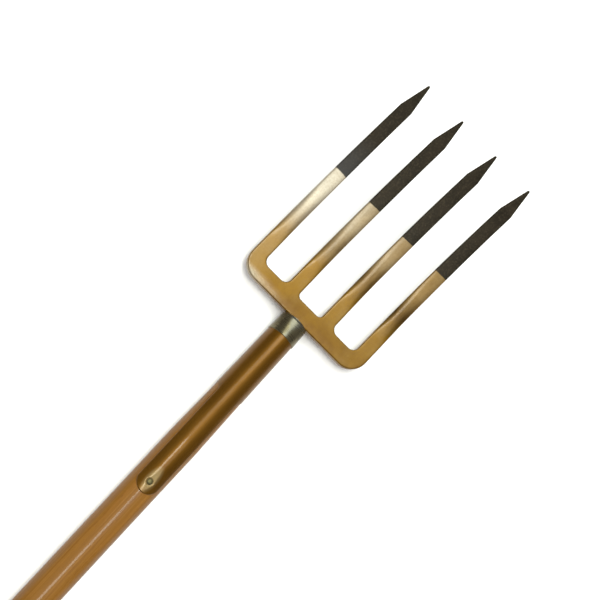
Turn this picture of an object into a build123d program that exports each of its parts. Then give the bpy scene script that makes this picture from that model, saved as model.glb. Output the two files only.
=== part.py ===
"""Long-handled four-tine fork: a forged head, an ash handle and the ferrule set that joins them.

The fork lies on its back with the hollow side of the tines up. X runs from the butt of the
handle to the points of the tines, Y across the head and Z up. The origin is on the floor, under
the middle of the fork's length. All sizes are in millimetres.

Stations are measured along the handle's axis from the back edge of the crossbar: positive
towards the points, negative towards the butt. Heights are measured from the same axis.
"""

import math
import os

from build123d import *

# Head: one forging. Lengths along a tine follow its curve.
TINE_COUNT = 4
TINE_PITCH = 54.0
TINE_ROOT_WIDTH = 18.0
TINE_SHOULDER_WIDTH = 16.4
HEAD_LENGTH = 290.0
POINT_LENGTH = 36.0
POINT_WIDTH = 2.6
CROSSBAR_DEPTH = 20.8
ROOT_THICKNESS = 8.5
POINT_THICKNESS = 2.0
HEAD_LIFT = 4.0  # degrees between the handle's axis and the crossbar
HEAD_BEND_RADIUS = 640.0
CORNER_RADIUS = 22.0
OUTER_SLOT_FILLET = 8.5
INNER_SLOT_FILLET = 5.5
EDGE_BEVEL = 0.8
SEARCH_MARGIN = 0.1  # how near a corner lies to the line that it is looked for on

# Tang: a tapered square spike behind the crossbar, driven into the handle.
TANG_WIDTH = 15.0
TANG_THICKNESS = 7.5
TANG_LENGTH = 120.0
TANG_POINT = 4.0
TANG_CLEARANCE = 0.1
PILOT_EXTRA_DEPTH = 2.0

# Handle: a turned stick, cut down where the ferrule seats on it.
HANDLE_LENGTH = 1350.0
HANDLE_DIAMETER = 38.0
SWELL = 0.25  # how far the handle stands out beyond its grip radius where the flare ends
MOUTH_REDUCTION = 3.5  # how far the seat lies under the grip radius at the ferrule's mouth
TUBE_END_REDUCTION = 2.2  # and at the end of the ferrule's tube
SHOULDER_REDUCTION = 1.35  # how far the bare wood beside the tube's end lies under it
BUTT_ROUNDING = 13.0
TOP_ROUNDING = 3.5

# Ferrule: a rolled sheet tube with one long tongue on the front, and a seam at the back.
SHEET = 1.3
FIT = 0.05
TUBE_LENGTH = 105.3
FLARE_LENGTH = 75.0
TONGUE_WIDTH = 28.8
TONGUE_END_EXTRA = 0.4  # how far the radius of the tongue's end exceeds half its width
TONGUE_END_OFFSET = 0.9  # from the rivet forward to the centre of the tongue's round end
TONGUE_CORNER = 10.0
TONGUE_BED_MARGIN = 0.3
PROFILE_BLEND = 500.0
SEAM_GAP = 0.4

# Collar: a ring with a rolled-in end, pressed over the ferrule's mouth.
RING_LENGTH = 25.8
RING_WALL = 0.9
RING_SHOULDER = 5.0
RING_OPENING_RADIUS = 9.6
RING_LIP_ROUNDING = 0.4
RING_GAP = 0.2

# Rivet: through a dimple in the tongue, the handle and a washer at the back.
RIVET_STATION = -244.4
RIVET_DIAMETER = 5.0
RIVET_CLEARANCE = 0.1
RIVET_HEAD_DIAMETER = 6.6
RIVET_HEAD_HEIGHT = 1.5
PEEN_DIAMETER = 7.2
PEEN_HEIGHT = 0.5
DIMPLE_RADIUS = 5.7
DIMPLE_FLOOR_RADIUS = 3.7
DIMPLE_DEPTH = 1.6
WASHER_DIAMETER = 12.0
WASHER_THICKNESS = 1.2
WASHER_EDGE = 0.2
WASHER_RECESS_MARGIN = 0.3

# Derived sizes.
HEAD_WIDTH = (TINE_COUNT - 1) * TINE_PITCH + TINE_ROOT_WIDTH
TINE_CENTRES = [(i - (TINE_COUNT - 1) / 2) * TINE_PITCH for i in range(TINE_COUNT)]
GRIP_RADIUS = HANDLE_DIAMETER / 2
SWELL_RADIUS = GRIP_RADIUS + SWELL
TUBE_START = -(RING_GAP + RING_SHOULDER + FIT)
TUBE_END = TUBE_START - TUBE_LENGTH
FLARE_END = TUBE_END - FLARE_LENGTH
TONGUE_END_RADIUS = TONGUE_WIDTH / 2 + TONGUE_END_EXTRA
TONGUE_END_CENTRE = RIVET_STATION + TONGUE_END_OFFSET
TONGUE_END = TONGUE_END_CENTRE - TONGUE_END_RADIUS
GRIP_START = TONGUE_END - 2 * SHEET
HANDLE_TOP = -(RING_GAP + RING_WALL + FIT)
HANDLE_BUTT = HANDLE_TOP - HANDLE_LENGTH


def curve_station(length):
    """Station of the head's middle surface at a length along its curve."""
    lift = math.radians(HEAD_LIFT)
    return HEAD_BEND_RADIUS * (math.sin(lift + length / HEAD_BEND_RADIUS) - math.sin(lift))


def head_point(length, side):
    """Point of the head's side view: side is +1 on the front face and -1 on the back face."""
    lift = math.radians(HEAD_LIFT)
    slope = lift + length / HEAD_BEND_RADIUS
    taper = (POINT_THICKNESS - ROOT_THICKNESS) * length / HEAD_LENGTH
    half = side * (ROOT_THICKNESS + taper) / 2
    height = HEAD_BEND_RADIUS * (math.cos(lift) - math.cos(slope))
    return (curve_station(length) - half * math.sin(slope), height + half * math.cos(slope))


POINT_STATION = curve_station(HEAD_LENGTH)
OVERALL_LENGTH = POINT_STATION - HANDLE_BUTT
REACH = OVERALL_LENGTH  # longer than any cut has to be

# The workplanes share one origin: on the handle's axis, at the back edge of the crossbar.
HEAD_ORIGIN = (OVERALL_LENGTH / 2 - POINT_STATION, 0, SWELL_RADIUS)
SIDE = Plane(origin=HEAD_ORIGIN, x_dir=(1, 0, 0), z_dir=(0, -1, 0))
PLAN = Plane(origin=HEAD_ORIGIN, x_dir=(1, 0, 0), z_dir=(0, 0, 1))
HANDLE_AXIS = Axis(HEAD_ORIGIN, (1, 0, 0))
RIVET_AXIS = Axis((HEAD_ORIGIN[0] + RIVET_STATION, 0, 0), (0, 0, 1))


def across(station):
    """Workplane square to the handle's axis at a station."""
    origin = (HEAD_ORIGIN[0] + station, 0, HEAD_ORIGIN[2])
    return Plane(origin=origin, x_dir=(0, 1, 0), z_dir=(1, 0, 0))


def between(station, start, end):
    """Radius at a station on the line through two (station, radius) points."""
    return start[1] + (end[1] - start[1]) * (station - start[0]) / (end[0] - start[0])


# The seat is the surface of the wood that the ferrule lies on, as (station, radius) points.
SEAT_MOUTH = (TUBE_START, GRIP_RADIUS - MOUTH_REDUCTION)
SEAT_TUBE_END = (TUBE_END, GRIP_RADIUS - TUBE_END_REDUCTION)
SEAT_FLARE_END = (FLARE_END, SWELL_RADIUS)
SEAT_GRIP_START = (GRIP_START, GRIP_RADIUS)
SEAT_TOP = (HANDLE_TOP, between(HANDLE_TOP, SEAT_MOUTH, SEAT_TUBE_END))
SHOULDER_STATION = TUBE_END - TONGUE_BED_MARGIN


def ferrule_line(rise):
    """Points of the ferrule's side view, at a height above the wood that it seats on."""
    return [
        (station, radius + rise)
        for station, radius in (SEAT_MOUTH, SEAT_TUBE_END, SEAT_FLARE_END, SEAT_GRIP_START)
    ]


def tongue_edge(station_radius):
    """Point of the tongue's side edge in side view, where the sheet's outer radius is given."""
    station, radius = station_radius
    return (station, math.sqrt(radius**2 - (TONGUE_WIDTH / 2) ** 2))


OUTER_LINE = ferrule_line(FIT + SHEET)
TONGUE_TOP = between(RIVET_STATION, OUTER_LINE[2], OUTER_LINE[3])


def ring_radius(station):
    """Radius of the collar's inside, which runs along the outside of the ferrule's tube."""
    return between(station, OUTER_LINE[0], OUTER_LINE[1]) + FIT


def turned_profile(line):
    """Face between a side-view line and the handle's axis, for revolving."""
    with BuildSketch(SIDE) as profile:
        with BuildLine():
            FilletPolyline(*line, radius=PROFILE_BLEND)
            Polyline(line[-1], (line[-1][0], 0), (line[0][0], 0), line[0])
        make_face()
    return profile.sketch


def ferrule_side_view(margin):
    """Side view of the ferrule, grown by a margin: the tube, and the tongue above its edges."""
    corner = tongue_edge(OUTER_LINE[1])
    flare = tongue_edge(OUTER_LINE[2])
    tip = tongue_edge(OUTER_LINE[3])
    with BuildSketch(SIDE) as side_view:
        with BuildLine():
            Polyline(
                (TUBE_START + margin, -REACH),
                (TUBE_END - margin, -REACH),
                (TUBE_END - margin, corner[1] - margin),
                (FLARE_END, flare[1] - margin),
                (GRIP_START - margin, tip[1] - margin),
                (GRIP_START - margin, REACH),
                (TUBE_START + margin, REACH),
                close=True,
            )
        make_face()
        inside_corner = side_view.vertices().sort_by_distance((TUBE_END, corner[1]))[0]
        fillet(inside_corner, radius=TONGUE_CORNER)
    return side_view.sketch


def ferrule_plan(margin):
    """Plan of the ferrule, grown by a margin: the tongue's end is round."""
    with BuildSketch(PLAN) as plan_view:
        with Locations((TONGUE_END_CENTRE, 0)):
            Circle(TONGUE_END_RADIUS + margin)
            Rectangle(REACH, REACH, align=(Align.MIN, Align.CENTER))
    return plan_view.sketch


def tang_section(station, width, thickness):
    """Cross-section of the tang at a station."""
    with BuildSketch(across(station)) as section_view:
        Rectangle(width, thickness)
    return section_view.sketch


def dimple_profile(wall):
    """Half of the dimple's upright cone, with a wall round and under it."""
    slope = (DIMPLE_RADIUS - DIMPLE_FLOOR_RADIUS) / DIMPLE_DEPTH
    floor = TONGUE_TOP - DIMPLE_DEPTH - wall
    top = TONGUE_TOP + SHEET
    foot = RIVET_STATION + DIMPLE_FLOOR_RADIUS + wall
    with BuildSketch(SIDE) as profile:
        with BuildLine():
            Polyline(
                (RIVET_STATION, floor),
                (foot, floor),
                (foot + slope * (top - floor), top),
                (RIVET_STATION, top),
                close=True,
            )
        make_face()
    return profile.sketch


# Head: the plan outline of crossbar and tines, cut from a bent and tapered slab.
with BuildPart() as fork_head:
    slab_start = -CROSSBAR_DEPTH / 2
    slab_end = HEAD_LENGTH + POINT_WIDTH
    slab_middle = (slab_start + slab_end) / 2
    with BuildSketch(SIDE):
        with BuildLine():
            ThreePointArc(*[head_point(s, 1) for s in (slab_start, slab_middle, slab_end)])
            Line(head_point(slab_end, 1), head_point(slab_end, -1))
            ThreePointArc(*[head_point(s, -1) for s in (slab_end, slab_middle, slab_start)])
            Line(head_point(slab_start, -1), head_point(slab_start, 1))
        make_face()
    extrude(amount=HEAD_WIDTH, both=True)

    shoulder_station = curve_station(HEAD_LENGTH - POINT_LENGTH)
    with BuildSketch(PLAN) as head_outline:
        Rectangle(CROSSBAR_DEPTH, HEAD_WIDTH - TINE_ROOT_WIDTH, align=(Align.MIN, Align.CENTER))
        for centre in TINE_CENTRES:
            half_widths = [
                (0, TINE_ROOT_WIDTH / 2),
                (shoulder_station, TINE_SHOULDER_WIDTH / 2),
                (POINT_STATION, POINT_WIDTH / 2),
            ]
            left = [(station, centre + half) for station, half in half_widths]
            right = [(station, centre - half) for station, half in reversed(half_widths)]
            with BuildLine():
                Polyline(*left, *right, close=True)
            make_face()
        outer_corners = head_outline.vertices().group_by(Axis.X)[0]
        fillet(outer_corners, radius=CORNER_RADIUS)
        slot_corners = head_outline.vertices().filter_by_position(
            Axis.X, CROSSBAR_DEPTH - SEARCH_MARGIN, CROSSBAR_DEPTH + SEARCH_MARGIN
        )
        inner_reach = TINE_CENTRES[-1] - TINE_ROOT_WIDTH
        inner_corners = slot_corners.filter_by_position(Axis.Y, -inner_reach, inner_reach)
        fillet(inner_corners, radius=INNER_SLOT_FILLET)
        outer_reach = TINE_CENTRES[-1]
        outer_slot_corners = slot_corners.filter_by(
            lambda corner: inner_reach < abs(corner.Y) < outer_reach
        )
        fillet(outer_slot_corners, radius=OUTER_SLOT_FILLET)
    extrude(amount=HEAD_LENGTH, both=True, mode=Mode.INTERSECT)

    broad_faces = fork_head.faces().sort_by(SortBy.AREA)[-2:]
    chamfer(broad_faces.edges(), length=EDGE_BEVEL)
    loft(
        [
            tang_section(0, TANG_WIDTH, TANG_THICKNESS),
            tang_section(-TANG_LENGTH, TANG_POINT, TANG_POINT),
        ]
    )
fork_head.part.label = "fork_head"

# Ferrule: a conical tube that flares onto the full handle and is trimmed to a tongue.
with BuildPart() as dimple_wall:
    revolve(dimple_profile(SHEET), axis=RIVET_AXIS)
    revolve(turned_profile(OUTER_LINE), axis=HANDLE_AXIS, mode=Mode.INTERSECT)

with BuildPart() as tongued_ferrule:
    revolve(turned_profile(OUTER_LINE), axis=HANDLE_AXIS)
    revolve(turned_profile(ferrule_line(FIT)), axis=HANDLE_AXIS, mode=Mode.SUBTRACT)
    extrude(ferrule_side_view(0), amount=REACH, both=True, mode=Mode.INTERSECT)
    extrude(ferrule_plan(0), amount=REACH, both=True, mode=Mode.INTERSECT)
    with BuildSketch(PLAN):
        Rectangle(REACH, SEAM_GAP)
    extrude(amount=-REACH, mode=Mode.SUBTRACT)
    add(dimple_wall.part)
    revolve(dimple_profile(0), axis=RIVET_AXIS, mode=Mode.SUBTRACT)
    with Locations((RIVET_AXIS.position.X, 0, HEAD_ORIGIN[2] + TONGUE_TOP)):
        Cylinder(
            RIVET_DIAMETER / 2 + RIVET_CLEARANCE,
            2 * (DIMPLE_DEPTH + SHEET) + SHEET,
            mode=Mode.SUBTRACT,
        )
tongued_ferrule.part.label = "tongued_ferrule"

# Collar: its rolled-in end lies against the crossbar, round the tang.
with BuildPart() as ferrule_ring:
    ring_top = -RING_GAP
    ring_end = ring_top - RING_LENGTH
    inner_top = ring_top - RING_WALL
    with BuildSketch(SIDE) as ring_section:
        with BuildLine():
            Polyline(
                (ring_top, RING_OPENING_RADIUS),
                (ring_top, ring_radius(ring_top) + RING_WALL),
                (ring_end, ring_radius(ring_end) + RING_WALL),
                (ring_end, ring_radius(ring_end)),
                (inner_top, ring_radius(inner_top)),
                (inner_top, RING_OPENING_RADIUS),
                close=True,
            )
        make_face()
        corners = ring_section.vertices()
        outer_corner = corners.sort_by_distance((ring_top, ring_radius(ring_top) + RING_WALL))[0]
        fillet(outer_corner, radius=RING_SHOULDER)
        corners = ring_section.vertices()
        inner_corner = corners.sort_by_distance((inner_top, ring_radius(inner_top)))[0]
        fillet(inner_corner, radius=RING_SHOULDER - RING_WALL)
        corners = ring_section.vertices()
        lip_corner = corners.sort_by_distance((ring_end, ring_radius(ring_end) + RING_WALL))[0]
        fillet(lip_corner, radius=RING_LIP_ROUNDING)
    revolve(axis=HANDLE_AXIS)
ferrule_ring.part.label = "ferrule_ring"

# Bed: the wood shaved away under the tongue, where the bare wood stands above the seat.
with BuildPart() as tongue_bed:
    with BuildSketch(SIDE):
        with BuildLine():
            Polyline(
                (SHOULDER_STATION, -REACH),
                (SHOULDER_STATION, REACH),
                (GRIP_START, REACH),
                (GRIP_START, -REACH),
                close=True,
            )
        make_face()
    extrude(amount=REACH, both=True)
    revolve(turned_profile(ferrule_line(0)), axis=HANDLE_AXIS, mode=Mode.SUBTRACT)
    extrude(ferrule_side_view(TONGUE_BED_MARGIN), amount=REACH, both=True, mode=Mode.INTERSECT)
    extrude(ferrule_plan(TONGUE_BED_MARGIN), amount=REACH, both=True, mode=Mode.INTERSECT)

# Handle: turned, with a seat for the ferrule, a pilot hole for the tang and a hole for the rivet.
with BuildPart() as handle:
    with BuildSketch(SIDE) as handle_section:
        with BuildLine():
            Polyline(
                (HANDLE_BUTT, 0),
                (HANDLE_BUTT, GRIP_RADIUS),
                (GRIP_START, GRIP_RADIUS),
                (FLARE_END, SWELL_RADIUS),
                (SHOULDER_STATION, GRIP_RADIUS - SHOULDER_REDUCTION),
                (SHOULDER_STATION, between(SHOULDER_STATION, SEAT_MOUTH, SEAT_TUBE_END)),
                SEAT_TOP,
                (HANDLE_TOP, 0),
                close=True,
            )
        make_face()
        butt_corner = handle_section.vertices().sort_by_distance((HANDLE_BUTT, GRIP_RADIUS))[0]
        fillet(butt_corner, radius=BUTT_ROUNDING)
        top_corner = handle_section.vertices().sort_by_distance(SEAT_TOP)[0]
        fillet(top_corner, radius=TOP_ROUNDING)
    revolve(axis=HANDLE_AXIS)
    add(tongue_bed.part, mode=Mode.SUBTRACT)
    hole_width = TANG_WIDTH + 2 * TANG_CLEARANCE
    hole_thickness = TANG_THICKNESS + 2 * TANG_CLEARANCE
    hole_end = TANG_POINT + 2 * TANG_CLEARANCE
    loft(
        [
            tang_section(0, hole_width, hole_thickness),
            tang_section(-TANG_LENGTH - PILOT_EXTRA_DEPTH, hole_end, hole_end),
        ],
        mode=Mode.SUBTRACT,
    )
    revolve(dimple_profile(SHEET + FIT), axis=RIVET_AXIS, mode=Mode.SUBTRACT)
    washer_seat = -GRIP_RADIUS + WASHER_THICKNESS + PEEN_HEIGHT + FIT
    with BuildSketch(PLAN):
        with Locations((RIVET_STATION, 0)):
            Circle(RIVET_DIAMETER / 2 + RIVET_CLEARANCE)
    extrude(amount=REACH, both=True, mode=Mode.SUBTRACT)
    with BuildSketch(PLAN.offset(washer_seat)):
        with Locations((RIVET_STATION, 0)):
            Circle(WASHER_DIAMETER / 2 + WASHER_RECESS_MARGIN)
    extrude(amount=-REACH, mode=Mode.SUBTRACT)
handle.part.label = "handle"

# Washer: the burr that the rivet is peened over, let into the back of the handle.
with BuildPart() as rivet_washer:
    with BuildSketch(PLAN.offset(washer_seat)):
        with Locations((RIVET_STATION, 0)):
            Circle(WASHER_DIAMETER / 2)
            Circle(RIVET_DIAMETER / 2 + RIVET_CLEARANCE, mode=Mode.SUBTRACT)
    extrude(amount=-WASHER_THICKNESS)
    chamfer(rivet_washer.faces().sort_by(Axis.Z)[0].outer_wire().edges(), length=WASHER_EDGE)
rivet_washer.part.label = "rivet_washer"

# Rivet: a domed head in the dimple, a shank through the handle and a peened end.
with BuildPart() as tongue_rivet:
    head_base = TONGUE_TOP - DIMPLE_DEPTH
    head_top = head_base + RIVET_HEAD_HEIGHT
    peen_base = washer_seat - WASHER_THICKNESS
    peen_end = peen_base - PEEN_HEIGHT
    head_rim = RIVET_STATION + RIVET_HEAD_DIAMETER / 2
    shank = RIVET_STATION + RIVET_DIAMETER / 2
    peen_rim = RIVET_STATION + PEEN_DIAMETER / 2
    with BuildSketch(SIDE):
        with BuildLine():
            TangentArc((RIVET_STATION, head_top), (head_rim, head_base), tangent=(1, 0))
            Polyline((head_rim, head_base), (shank, head_base), (shank, peen_base), (peen_rim, peen_base))
            TangentArc((RIVET_STATION, peen_end), (peen_rim, peen_base), tangent=(1, 0))
            Line((RIVET_STATION, peen_end), (RIVET_STATION, head_top))
        make_face()
    revolve(axis=RIVET_AXIS)
tongue_rivet.part.label = "tongue_rivet"

os.makedirs("parts", exist_ok=True)
export_step(fork_head.part, "parts/fork_head.step")
export_step(tongued_ferrule.part, "parts/tongued_ferrule.step")
export_step(ferrule_ring.part, "parts/ferrule_ring.step")
export_step(handle.part, "parts/handle.step")
export_step(rivet_washer.part, "parts/rivet_washer.step")
export_step(tongue_rivet.part, "parts/tongue_rivet.step")
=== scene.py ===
"""Looks of the long-handled four-tine fork: modelled surfaces and their finishes."""

import math
from functools import partialmethod

import bmesh
import bpy
from mathutils import Matrix, Vector, noise
from mathutils.geometry import delaunay_2d_cdt


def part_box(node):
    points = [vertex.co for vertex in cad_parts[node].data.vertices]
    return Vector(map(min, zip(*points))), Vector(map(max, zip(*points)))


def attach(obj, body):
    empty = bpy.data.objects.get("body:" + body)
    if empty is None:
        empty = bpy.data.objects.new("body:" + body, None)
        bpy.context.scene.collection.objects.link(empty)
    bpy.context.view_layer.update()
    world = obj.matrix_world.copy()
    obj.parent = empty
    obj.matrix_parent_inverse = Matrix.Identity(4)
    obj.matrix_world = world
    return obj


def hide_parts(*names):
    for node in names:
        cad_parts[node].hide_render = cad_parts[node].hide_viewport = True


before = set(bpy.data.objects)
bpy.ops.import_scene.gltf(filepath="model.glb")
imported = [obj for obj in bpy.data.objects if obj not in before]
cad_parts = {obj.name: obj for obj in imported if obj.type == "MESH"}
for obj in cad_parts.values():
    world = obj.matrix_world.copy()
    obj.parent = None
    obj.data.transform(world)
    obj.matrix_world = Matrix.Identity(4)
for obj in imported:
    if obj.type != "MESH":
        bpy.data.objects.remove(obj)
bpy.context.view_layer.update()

# Shapes are worked out in millimetres in the fork's own terms: the station along the handle's
# axis from the back edge of the crossbar, the distance across, and the height above the axis.
# Left is towards +Y, as in the photograph. The collar ends RING_GAP behind the crossbar, and
# points within SAME_POINT of each other become one.
MM = 0.001
SAME_POINT = 0.002
RING_GAP = 0.2
ring_low, ring_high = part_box("ferrule_ring")
head_low, head_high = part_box("fork_head")
handle_low, handle_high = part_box("handle")
ferrule_low, ferrule_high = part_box("tongued_ferrule")
rivet_low, rivet_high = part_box("tongue_rivet")
washer_low, washer_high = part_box("rivet_washer")
BACK_EDGE = Vector((ring_high.x + RING_GAP * MM, 0, (ring_low.z + ring_high.z) / 2))


def station_of(x):
    """Station, in millimetres, of a place along the frame's X."""
    return (x - BACK_EDGE.x) / MM


def height_of(z):
    """Height above the handle's axis, in millimetres, of a place along the frame's Z."""
    return (z - BACK_EDGE.z) / MM


def smooth_step(value, start, end):
    """0 before start, 1 after end, and a smooth rise between them."""
    share = min(1.0, max(0.0, (value - start) / (end - start)))
    return share * share * (3 - 2 * share)


def steps(start, end, count):
    """Evenly spaced values from start to end, both included."""
    return [start + (end - start) * i / count for i in range(count + 1)]


def ripple(x, y, z, scale):
    """Smooth unevenness from -1 to 1, with waves about scale millimetres long."""
    return noise.noise(Vector((x, y, z)) / scale)


# ---------------------------------------------------------------- meshes


def make_piece(name, points, faces, node, material):
    """A smooth mesh from points in the fork's terms, that stands for a node of the frame."""
    mesh = bpy.data.meshes.new(name)
    mesh.from_pydata([BACK_EDGE + Vector(p) * MM for p in points], [], faces)
    bm = bmesh.new()
    bm.from_mesh(mesh)
    bmesh.ops.remove_doubles(bm, verts=bm.verts, dist=SAME_POINT * MM)
    bmesh.ops.recalc_face_normals(bm, faces=bm.faces)
    bm.to_mesh(mesh)
    bm.free()
    mesh.polygons.foreach_set("use_smooth", [True] * len(mesh.polygons))
    mesh.materials.append(material)
    piece = bpy.data.objects.new(name, mesh)
    bpy.context.scene.collection.objects.link(piece)
    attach(piece, "root")
    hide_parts(node)
    return piece


def grid_faces(rows, start=0, around=False):
    """Faces between neighbouring rows of equally many points, numbered from start."""
    width = len(rows[0])
    faces = []
    for row in range(len(rows) - 1):
        for column in range(width if around else width - 1):
            here = start + row * width + column
            beside = start + row * width + (column + 1) % width
            faces.append((here, beside, beside + width, here + width))
    return faces


def pairs(ring):
    """Each member of a closed ring with the next one."""
    return zip(ring, ring[1:] + ring[:1])


def renumbered(face, index):
    """A face's corners by their new numbers, without repeats in a row."""
    ring = [index[i] for i in face]
    return [a for a, b in pairs(ring) if a != b]


def open_edges(faces):
    """The edges that only one of the faces has, in that face's direction."""
    seen = dict.fromkeys(edge for face in faces for edge in pairs(face))
    return [(a, b) for a, b in seen if (b, a) not in seen]


def shell(layers, faces):
    """Closed mesh between the first and the last layer of points, whose faces are alike."""
    count = len(layers[0])
    points = [p for layer in layers for p in layer]
    last = count * (len(layers) - 1)
    solid = list(faces) + [tuple(last + i for i in reversed(face)) for face in faces]
    for a, b in open_edges(faces):
        for level in range(len(layers) - 1):
            top, low = level * count, (level + 1) * count
            solid.append((b + top, a + top, a + low, b + low))
    return points, solid


def on_axis(along, radius, turn):
    """Point at a turn round the handle's axis, counted from its top."""
    return (along, radius * math.sin(turn), radius * math.cos(turn))


def turned(outline, columns, place):
    """Closed surface turned from an outline of (along, radius) points, placed by a function."""
    turns = [math.tau * i / columns for i in range(columns)]
    rows = [[place(along, radius, turn) for turn in turns] for along, radius in outline]
    count = len(rows) * columns
    faces = grid_faces(rows + rows[:1], around=True)
    return [p for row in rows for p in row], [tuple(i % count for i in face) for face in faces]


# ---------------------------------------------------------------- head

TINE_COUNT = 4
TINE_ROOT_WIDTH = 18.0
TINE_SHOULDER_WIDTH = 16.4
HEAD_LENGTH = 290.0
POINT_LENGTH = 36.0
POINT_WIDTH = 2.6
CROSSBAR_DEPTH = 20.8
ROOT_THICKNESS = 8.5
POINT_THICKNESS = 2.0
HEAD_LIFT = math.radians(4)
HEAD_BEND_RADIUS = 640.0
CORNER_RADIUS = 22.0
OUTER_SLOT_FILLET = 8.5
INNER_SLOT_FILLET = 5.5
ROOT_STATION = CROSSBAR_DEPTH + OUTER_SLOT_FILLET
EDGE_ROUNDING = 1.3
# How far from the edge the loops of points lie that follow it.
EDGE_LOOPS = (0, 0.13 * EDGE_ROUNDING, 0.5 * EDGE_ROUNDING, EDGE_ROUNDING, 2.4, 4.2)
# Shares of half the thickness that the edge loses at the root, and more towards the point.
EDGE_DROP = 0.3
EDGE_DROP_GAIN = 0.25
# The tines' faces are crowned by a share of half the thickness, between these stations.
CROWN = 0.46
CROWN_POWER = 3.0
CROWN_RISE = (40.0, 84.0)
CROWN_FADE = 0.7
CROWN_FADING = (92.0, 138.0)
# The worn bevel of the back edge is full on the left and shallow on the right.
BACK_BEVEL = 0.8
BACK_BEVEL_DEPTH = 9.0
LEAST_BEVEL = 0.25
BEVEL_RISE = (5.0, 55.0)
# The front face dips over the last millimetres before the point.
TIP_DROP = 0.34
TIP_DROP_START = 5.0
TIP_DROP_END = 0.5
# Both faces are uneven, and FACE_OFFSET keeps the waves of the two apart.
FORGING_WAVE = 0.07
FORGING_WAVELENGTH = 17
FACE_OFFSET = 40
CORNER_STEPS = 14
FILLET_STEPS = 8
TINE_ROWS = 56
POINT_ROWS = 12
# The tang starts TANG_OVERLAP inside the crossbar.
TANG_LENGTH = 120.0
TANG_WIDTH = 15.0
TANG_THICKNESS = 7.5
TANG_POINT = 4.0
TANG_CHAMFER = 0.7
TANG_OVERLAP = 2
TANG_ROWS = 6

HEAD_WIDTH = (head_high.y - head_low.y) / MM
TINE_PITCH = (HEAD_WIDTH - TINE_ROOT_WIDTH) / (TINE_COUNT - 1)
TINE_CENTRES = [(i - (TINE_COUNT - 1) / 2) * TINE_PITCH for i in range(TINE_COUNT)]


def curve_angle(station):
    """Slope of the head's middle surface at a station, in radians."""
    return math.asin(station / HEAD_BEND_RADIUS + math.sin(HEAD_LIFT))


def curve_station(length):
    """Station of the head's middle surface at a length along its curve."""
    angle = HEAD_LIFT + length / HEAD_BEND_RADIUS
    return HEAD_BEND_RADIUS * (math.sin(angle) - math.sin(HEAD_LIFT))


SHOULDER_STATION = curve_station(HEAD_LENGTH - POINT_LENGTH)
POINT_STATION = curve_station(HEAD_LENGTH)


def tine_half_width(station):
    """Half the width of a tine at a station."""
    root, shoulder, point = TINE_ROOT_WIDTH / 2, TINE_SHOULDER_WIDTH / 2, POINT_WIDTH / 2
    if station < SHOULDER_STATION:
        return root + (shoulder - root) * station / SHOULDER_STATION
    share = (station - SHOULDER_STATION) / (POINT_STATION - SHOULDER_STATION)
    return shoulder + (point - shoulder) * share


ROOT_HALF_WIDTH = tine_half_width(ROOT_STATION)


def head_height(station, across, edge_distance, side):
    """Height of the head's front (side 1) or back (side -1) face over a place in its plan."""
    angle = curve_angle(station)
    length = HEAD_BEND_RADIUS * (angle - HEAD_LIFT)
    middle = HEAD_BEND_RADIUS * (math.cos(HEAD_LIFT) - math.cos(angle))
    thickness = ROOT_THICKNESS + (POINT_THICKNESS - ROOT_THICKNESS) * length / HEAD_LENGTH
    half = thickness / 2 / math.cos(angle)
    half_width = tine_half_width(max(station, ROOT_STATION))
    rounding = EDGE_ROUNDING * half_width / ROOT_HALF_WIDTH
    inside = min(1.0, edge_distance / rounding)
    edge_drop = half * (EDGE_DROP + EDGE_DROP_GAIN * length / HEAD_LENGTH)
    drop = edge_drop * (1 - math.sqrt(1 - (1 - inside) ** 2))
    fade = 1 - CROWN_FADE * smooth_step(station, *CROWN_FADING)
    crown = CROWN * smooth_step(station, *CROWN_RISE) * fade
    out = min(1.0, max(0.0, 1 - edge_distance / half_width))
    drop += half * crown * out**CROWN_POWER
    if side > 0:
        worn = LEAST_BEVEL + (1 - LEAST_BEVEL) * smooth_step(across, *BEVEL_RISE)
        drop += BACK_BEVEL * worn * (1 - smooth_step(station, 0, BACK_BEVEL_DEPTH))
        near_point = (POINT_STATION - TIP_DROP_START, POINT_STATION - TIP_DROP_END)
        drop += TIP_DROP * smooth_step(station, *near_point)
    unevenness = ripple(station, across, FACE_OFFSET * side, FORGING_WAVELENGTH)
    wave = FORGING_WAVE * (1 + unevenness) / 2
    return middle + side * (half - drop - wave)


def arc(centre, radius, start, end, count):
    """Points round an arc in the plan, each with its direction from the centre."""
    points = []
    for turn in steps(math.radians(start), math.radians(end), count):
        outward = Vector((math.cos(turn), math.sin(turn)))
        points.append((Vector(centre) + radius * outward, outward))
    return points


def straight(start, end, inward, pitch=4.0):
    """Points inside a straight stretch of an outline, each with its inward direction."""
    start, end = Vector(start), Vector(end)
    count = max(1, round((end - start).length / pitch))
    return [(start.lerp(end, i / count), Vector(inward)) for i in range(1, count)]


def slot_outline(low, high, fillet):
    """Outline of the slot between the tines centred at low and high, and its way into the metal."""
    left, right = low + ROOT_HALF_WIDTH, high - ROOT_HALF_WIDTH
    bottom = CROSSBAR_DEPTH
    path = []
    if bottom + fillet < ROOT_STATION:
        path.append((Vector((ROOT_STATION, left)), Vector((0, -1))))
    path += arc((bottom + fillet, left + fillet), fillet, 270, 180, FILLET_STEPS)
    path += straight((bottom, left + fillet), (bottom, right - fillet), (-1, 0))
    path += arc((bottom + fillet, right - fillet), fillet, 180, 90, FILLET_STEPS)
    if bottom + fillet < ROOT_STATION:
        path.append((Vector((ROOT_STATION, right)), Vector((0, 1))))
    return path


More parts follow.
